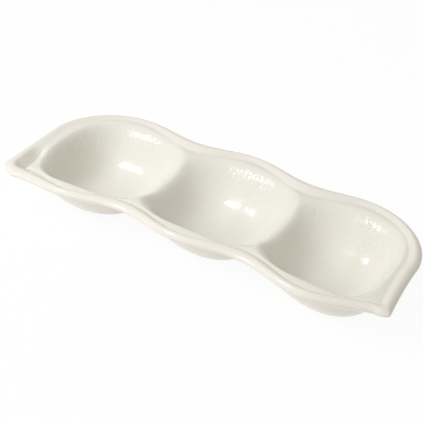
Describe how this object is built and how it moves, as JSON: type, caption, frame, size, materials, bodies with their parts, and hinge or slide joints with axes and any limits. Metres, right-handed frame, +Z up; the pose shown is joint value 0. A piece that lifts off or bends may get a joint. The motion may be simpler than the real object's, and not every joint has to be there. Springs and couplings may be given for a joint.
{
  "type": "compartment dish",
  "caption": "Pod-shaped glazed ceramic serving dish: round bowls in a row, joined over low saddles inside one wavy rolled lip, standing on ground foot rings.",
  "frame": {"origin": "on the table, under the middle of the dish's box", "axes": "+X along the row of bowls to the right, +Y to the back, +Z up out of the bowls"},
  "size_m": [0.323, 0.1206, 0.0415],
  "materials": {
    "glaze": "glossy off-white glaze over stoneware, with soft ripples from the maker's hand",
    "bare_clay": "unglazed ground stoneware"
  },
  "bodies": {
    "root": {"left_bowl": "glaze", "middle_bowl": "glaze", "right_bowl": "glaze", "back_lip": "glaze", "front_lip": "glaze", "left_tip": "glaze", "right_tip": "glaze", "left_foot": "bare_clay", "middle_foot": "bare_clay", "right_foot": "bare_clay"}
  },
  "joints": []
}
